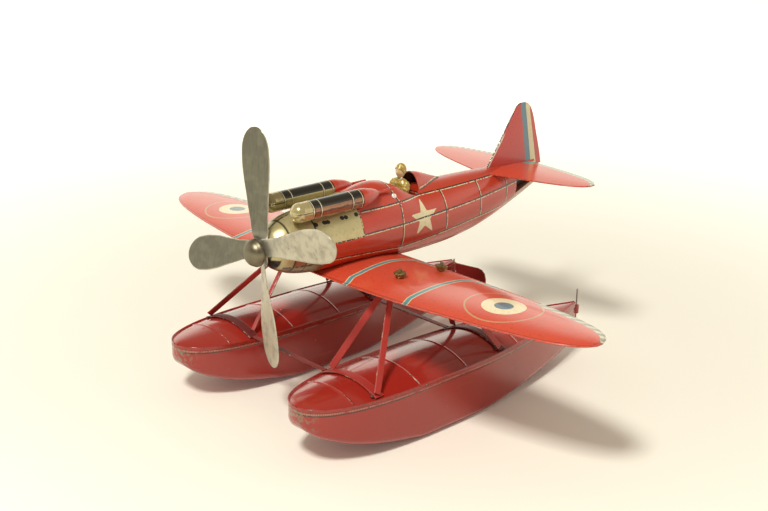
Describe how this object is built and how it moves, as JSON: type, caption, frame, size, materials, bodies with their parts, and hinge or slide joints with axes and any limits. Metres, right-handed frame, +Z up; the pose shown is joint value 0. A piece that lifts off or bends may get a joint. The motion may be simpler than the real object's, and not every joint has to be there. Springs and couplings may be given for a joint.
{
  "type": "tinplate clockwork toy seaplane on twin floats",
  "caption": "Tinplate clockwork toy seaplane: low wing on struts over boat-shaped floats, crossed-strip propeller, open cockpit with a pilot figure and a hinged water rudder.",
  "frame": {"origin": "on the floor under the middle of the model's box, in its plane of symmetry", "axes": "+X to the port wing tip, -Y to the nose, +Z up; the shaft is along Y"},
  "size_m": [0.528, 0.38, 0.2499],
  "materials": {
    "red_body_enamel": "gloss lithographed tinplate",
    "red_wing_enamel": "gloss lithographed tinplate",
    "red_float_enamel": "gloss enamel with worn edges",
    "gold_print": "gold lacquered tinplate",
    "aluminium": "dull sheet",
    "brass": "aged brass",
    "steel": "dull wire and block",
    "pilot_gold": "gold paint"
  },
  "bodies": {
    "airframe": {"fuselage": "red_body_enamel", "headrest_fairing": "red_body_enamel", "fin": "red_body_enamel", "bank_fairing_port": "red_body_enamel", "bank_fairing_starboard": "red_body_enamel", "nose_cowl": "gold_print", "cylinder_bank_port": "gold_print", "cylinder_bank_starboard": "gold_print", "wing": "red_wing_enamel", "tailplane_port": "red_wing_enamel", "tailplane_starboard": "red_wing_enamel", "float_hull_port": "red_float_enamel", "float_hull_starboard": "red_float_enamel", "float_deck_port": "red_float_enamel", "float_deck_starboard": "red_float_enamel", "saddle_front_port": "red_float_enamel", "saddle_front_starboard": "red_float_enamel", "saddle_rear_port": "red_float_enamel", "saddle_rear_starboard": "red_float_enamel", "strut_bracket_front_port": "red_float_enamel", "strut_bracket_front_starboard": "red_float_enamel", "strut_bracket_rear_port": "red_float_enamel", "strut_bracket_rear_starboard": "red_float_enamel", "strut_front_inner_port": "red_float_enamel", "strut_front_inner_starboard": "red_float_enamel", "strut_front_outer_port": "red_float_enamel", "strut_front_outer_starboard": "red_float_enamel", "strut_rear_inner_port": "red_float_enamel", "strut_rear_inner_starboard": "red_float_enamel", "strut_rear_outer_port": "red_float_enamel", "strut_rear_outer_starboard": "red_float_enamel", "cross_strap_front": "red_float_enamel", "cross_strap_rear": "red_float_enamel", "thumb_nut_front_port": "brass", "thumb_nut_front_starboard": "brass", "thumb_nut_rear_port": "brass", "thumb_nut_rear_starboard": "brass", "pilot": "pilot_gold", "clockwork_motor": "steel", "rudder_pin_port": "steel", "rudder_pin_starboard": "steel"},
    "propeller": {"propeller_shaft": "steel", "blade_pair_a": "aluminium", "blade_pair_b": "aluminium", "hub_cap": "aluminium"},
    "rudder": {"water_rudder": "red_float_enamel"}
  },
  "joints": [
    {"name": "propeller_spin", "type": "hinge", "parent": "airframe", "child": "propeller", "pos_m": [0, -0.159, 0.149], "axis": [0, -1, 0], "continuous": true},
    {"name": "rudder_turn", "type": "hinge", "parent": "airframe", "child": "rudder", "pos_m": [-0.0815, 0.1569, 0.03], "axis": [0, 0, 1], "range_deg": [-12, 168]}
  ]
}
